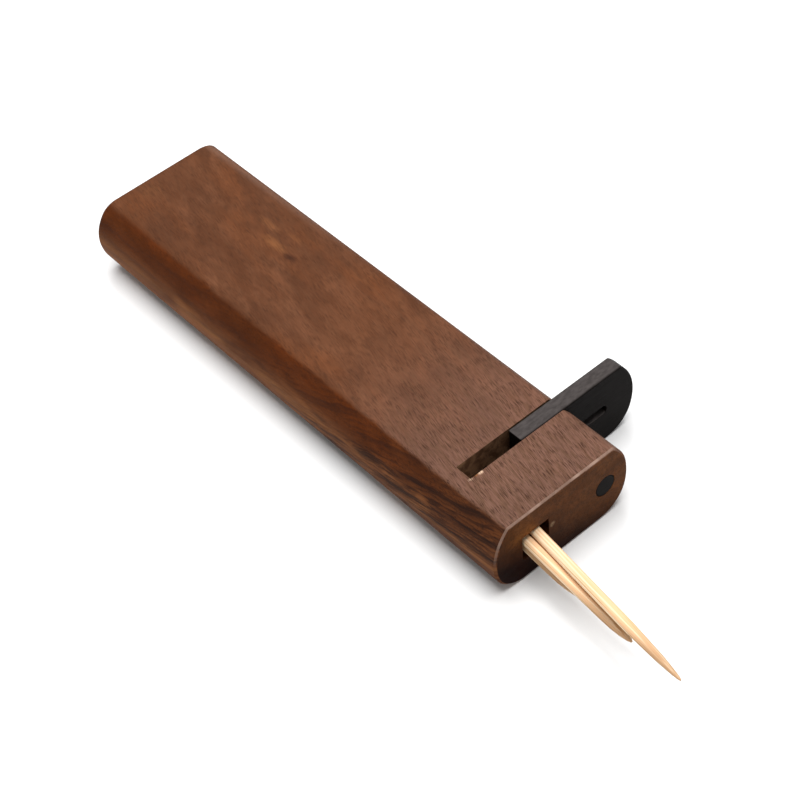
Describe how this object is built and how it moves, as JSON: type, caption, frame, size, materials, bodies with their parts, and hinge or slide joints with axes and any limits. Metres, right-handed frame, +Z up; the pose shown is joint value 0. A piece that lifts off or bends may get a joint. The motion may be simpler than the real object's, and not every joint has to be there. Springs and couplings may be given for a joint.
{
  "type": "pocket toothpick case",
  "caption": "Pocket toothpick case of walnut with rounded long sides, a cross gate of black wood that slides open sideways, and picks standing out of the outlet in its end.",
  "frame": {"origin": "centre of the case's flat bottom face", "axes": "+Z up from the flat bottom, +Y along the case away from the outlet face, +X across the case towards the side where the gate opens"},
  "size_m": [0.0422, 0.141, 0.015],
  "materials": {
    "walnut": "oiled",
    "black_wood": "satin",
    "bamboo": "raw",
    "steel": "plain"
  },
  "bodies": {
    "case": {"body_upper": "walnut", "body_lower": "walnut", "guide_pin": "steel", "pin_plug": "black_wood", "stored_pick_01": "bamboo", "stored_pick_02": "bamboo", "stored_pick_03": "bamboo", "stored_pick_04": "bamboo", "stored_pick_05": "bamboo", "stored_pick_06": "bamboo", "stored_pick_07": "bamboo", "stored_pick_08": "bamboo", "stored_pick_09": "bamboo", "stored_pick_10": "bamboo", "stored_pick_11": "bamboo", "stored_pick_12": "bamboo", "stored_pick_13": "bamboo", "stored_pick_14": "bamboo"},
    "gate": {"sliding_gate": "black_wood"},
    "pick_long": {"dispensed_pick_long": "bamboo"},
    "pick_mid": {"dispensed_pick_mid": "bamboo"},
    "pick_short": {"dispensed_pick_short": "bamboo"}
  },
  "joints": [
    {"name": "gate_slide", "type": "slide", "parent": "case", "child": "gate", "axis": [1, 0, 0], "range_m": [-0.0109, 0]},
    {"name": "pick_long_slide", "type": "slide", "parent": "case", "child": "pick_long", "axis": [-0.125, -0.992, 0.0152], "range_m": [0, 0.015]},
    {"name": "pick_mid_slide", "type": "slide", "parent": "case", "child": "pick_mid", "axis": [-0.0463, -0.9958, -0.0786], "range_m": [0, 0.015]},
    {"name": "pick_short_slide", "type": "slide", "parent": "case", "child": "pick_short", "axis": [-0.0463, -0.9958, -0.0786], "range_m": [0, 0.015]}
  ]
}
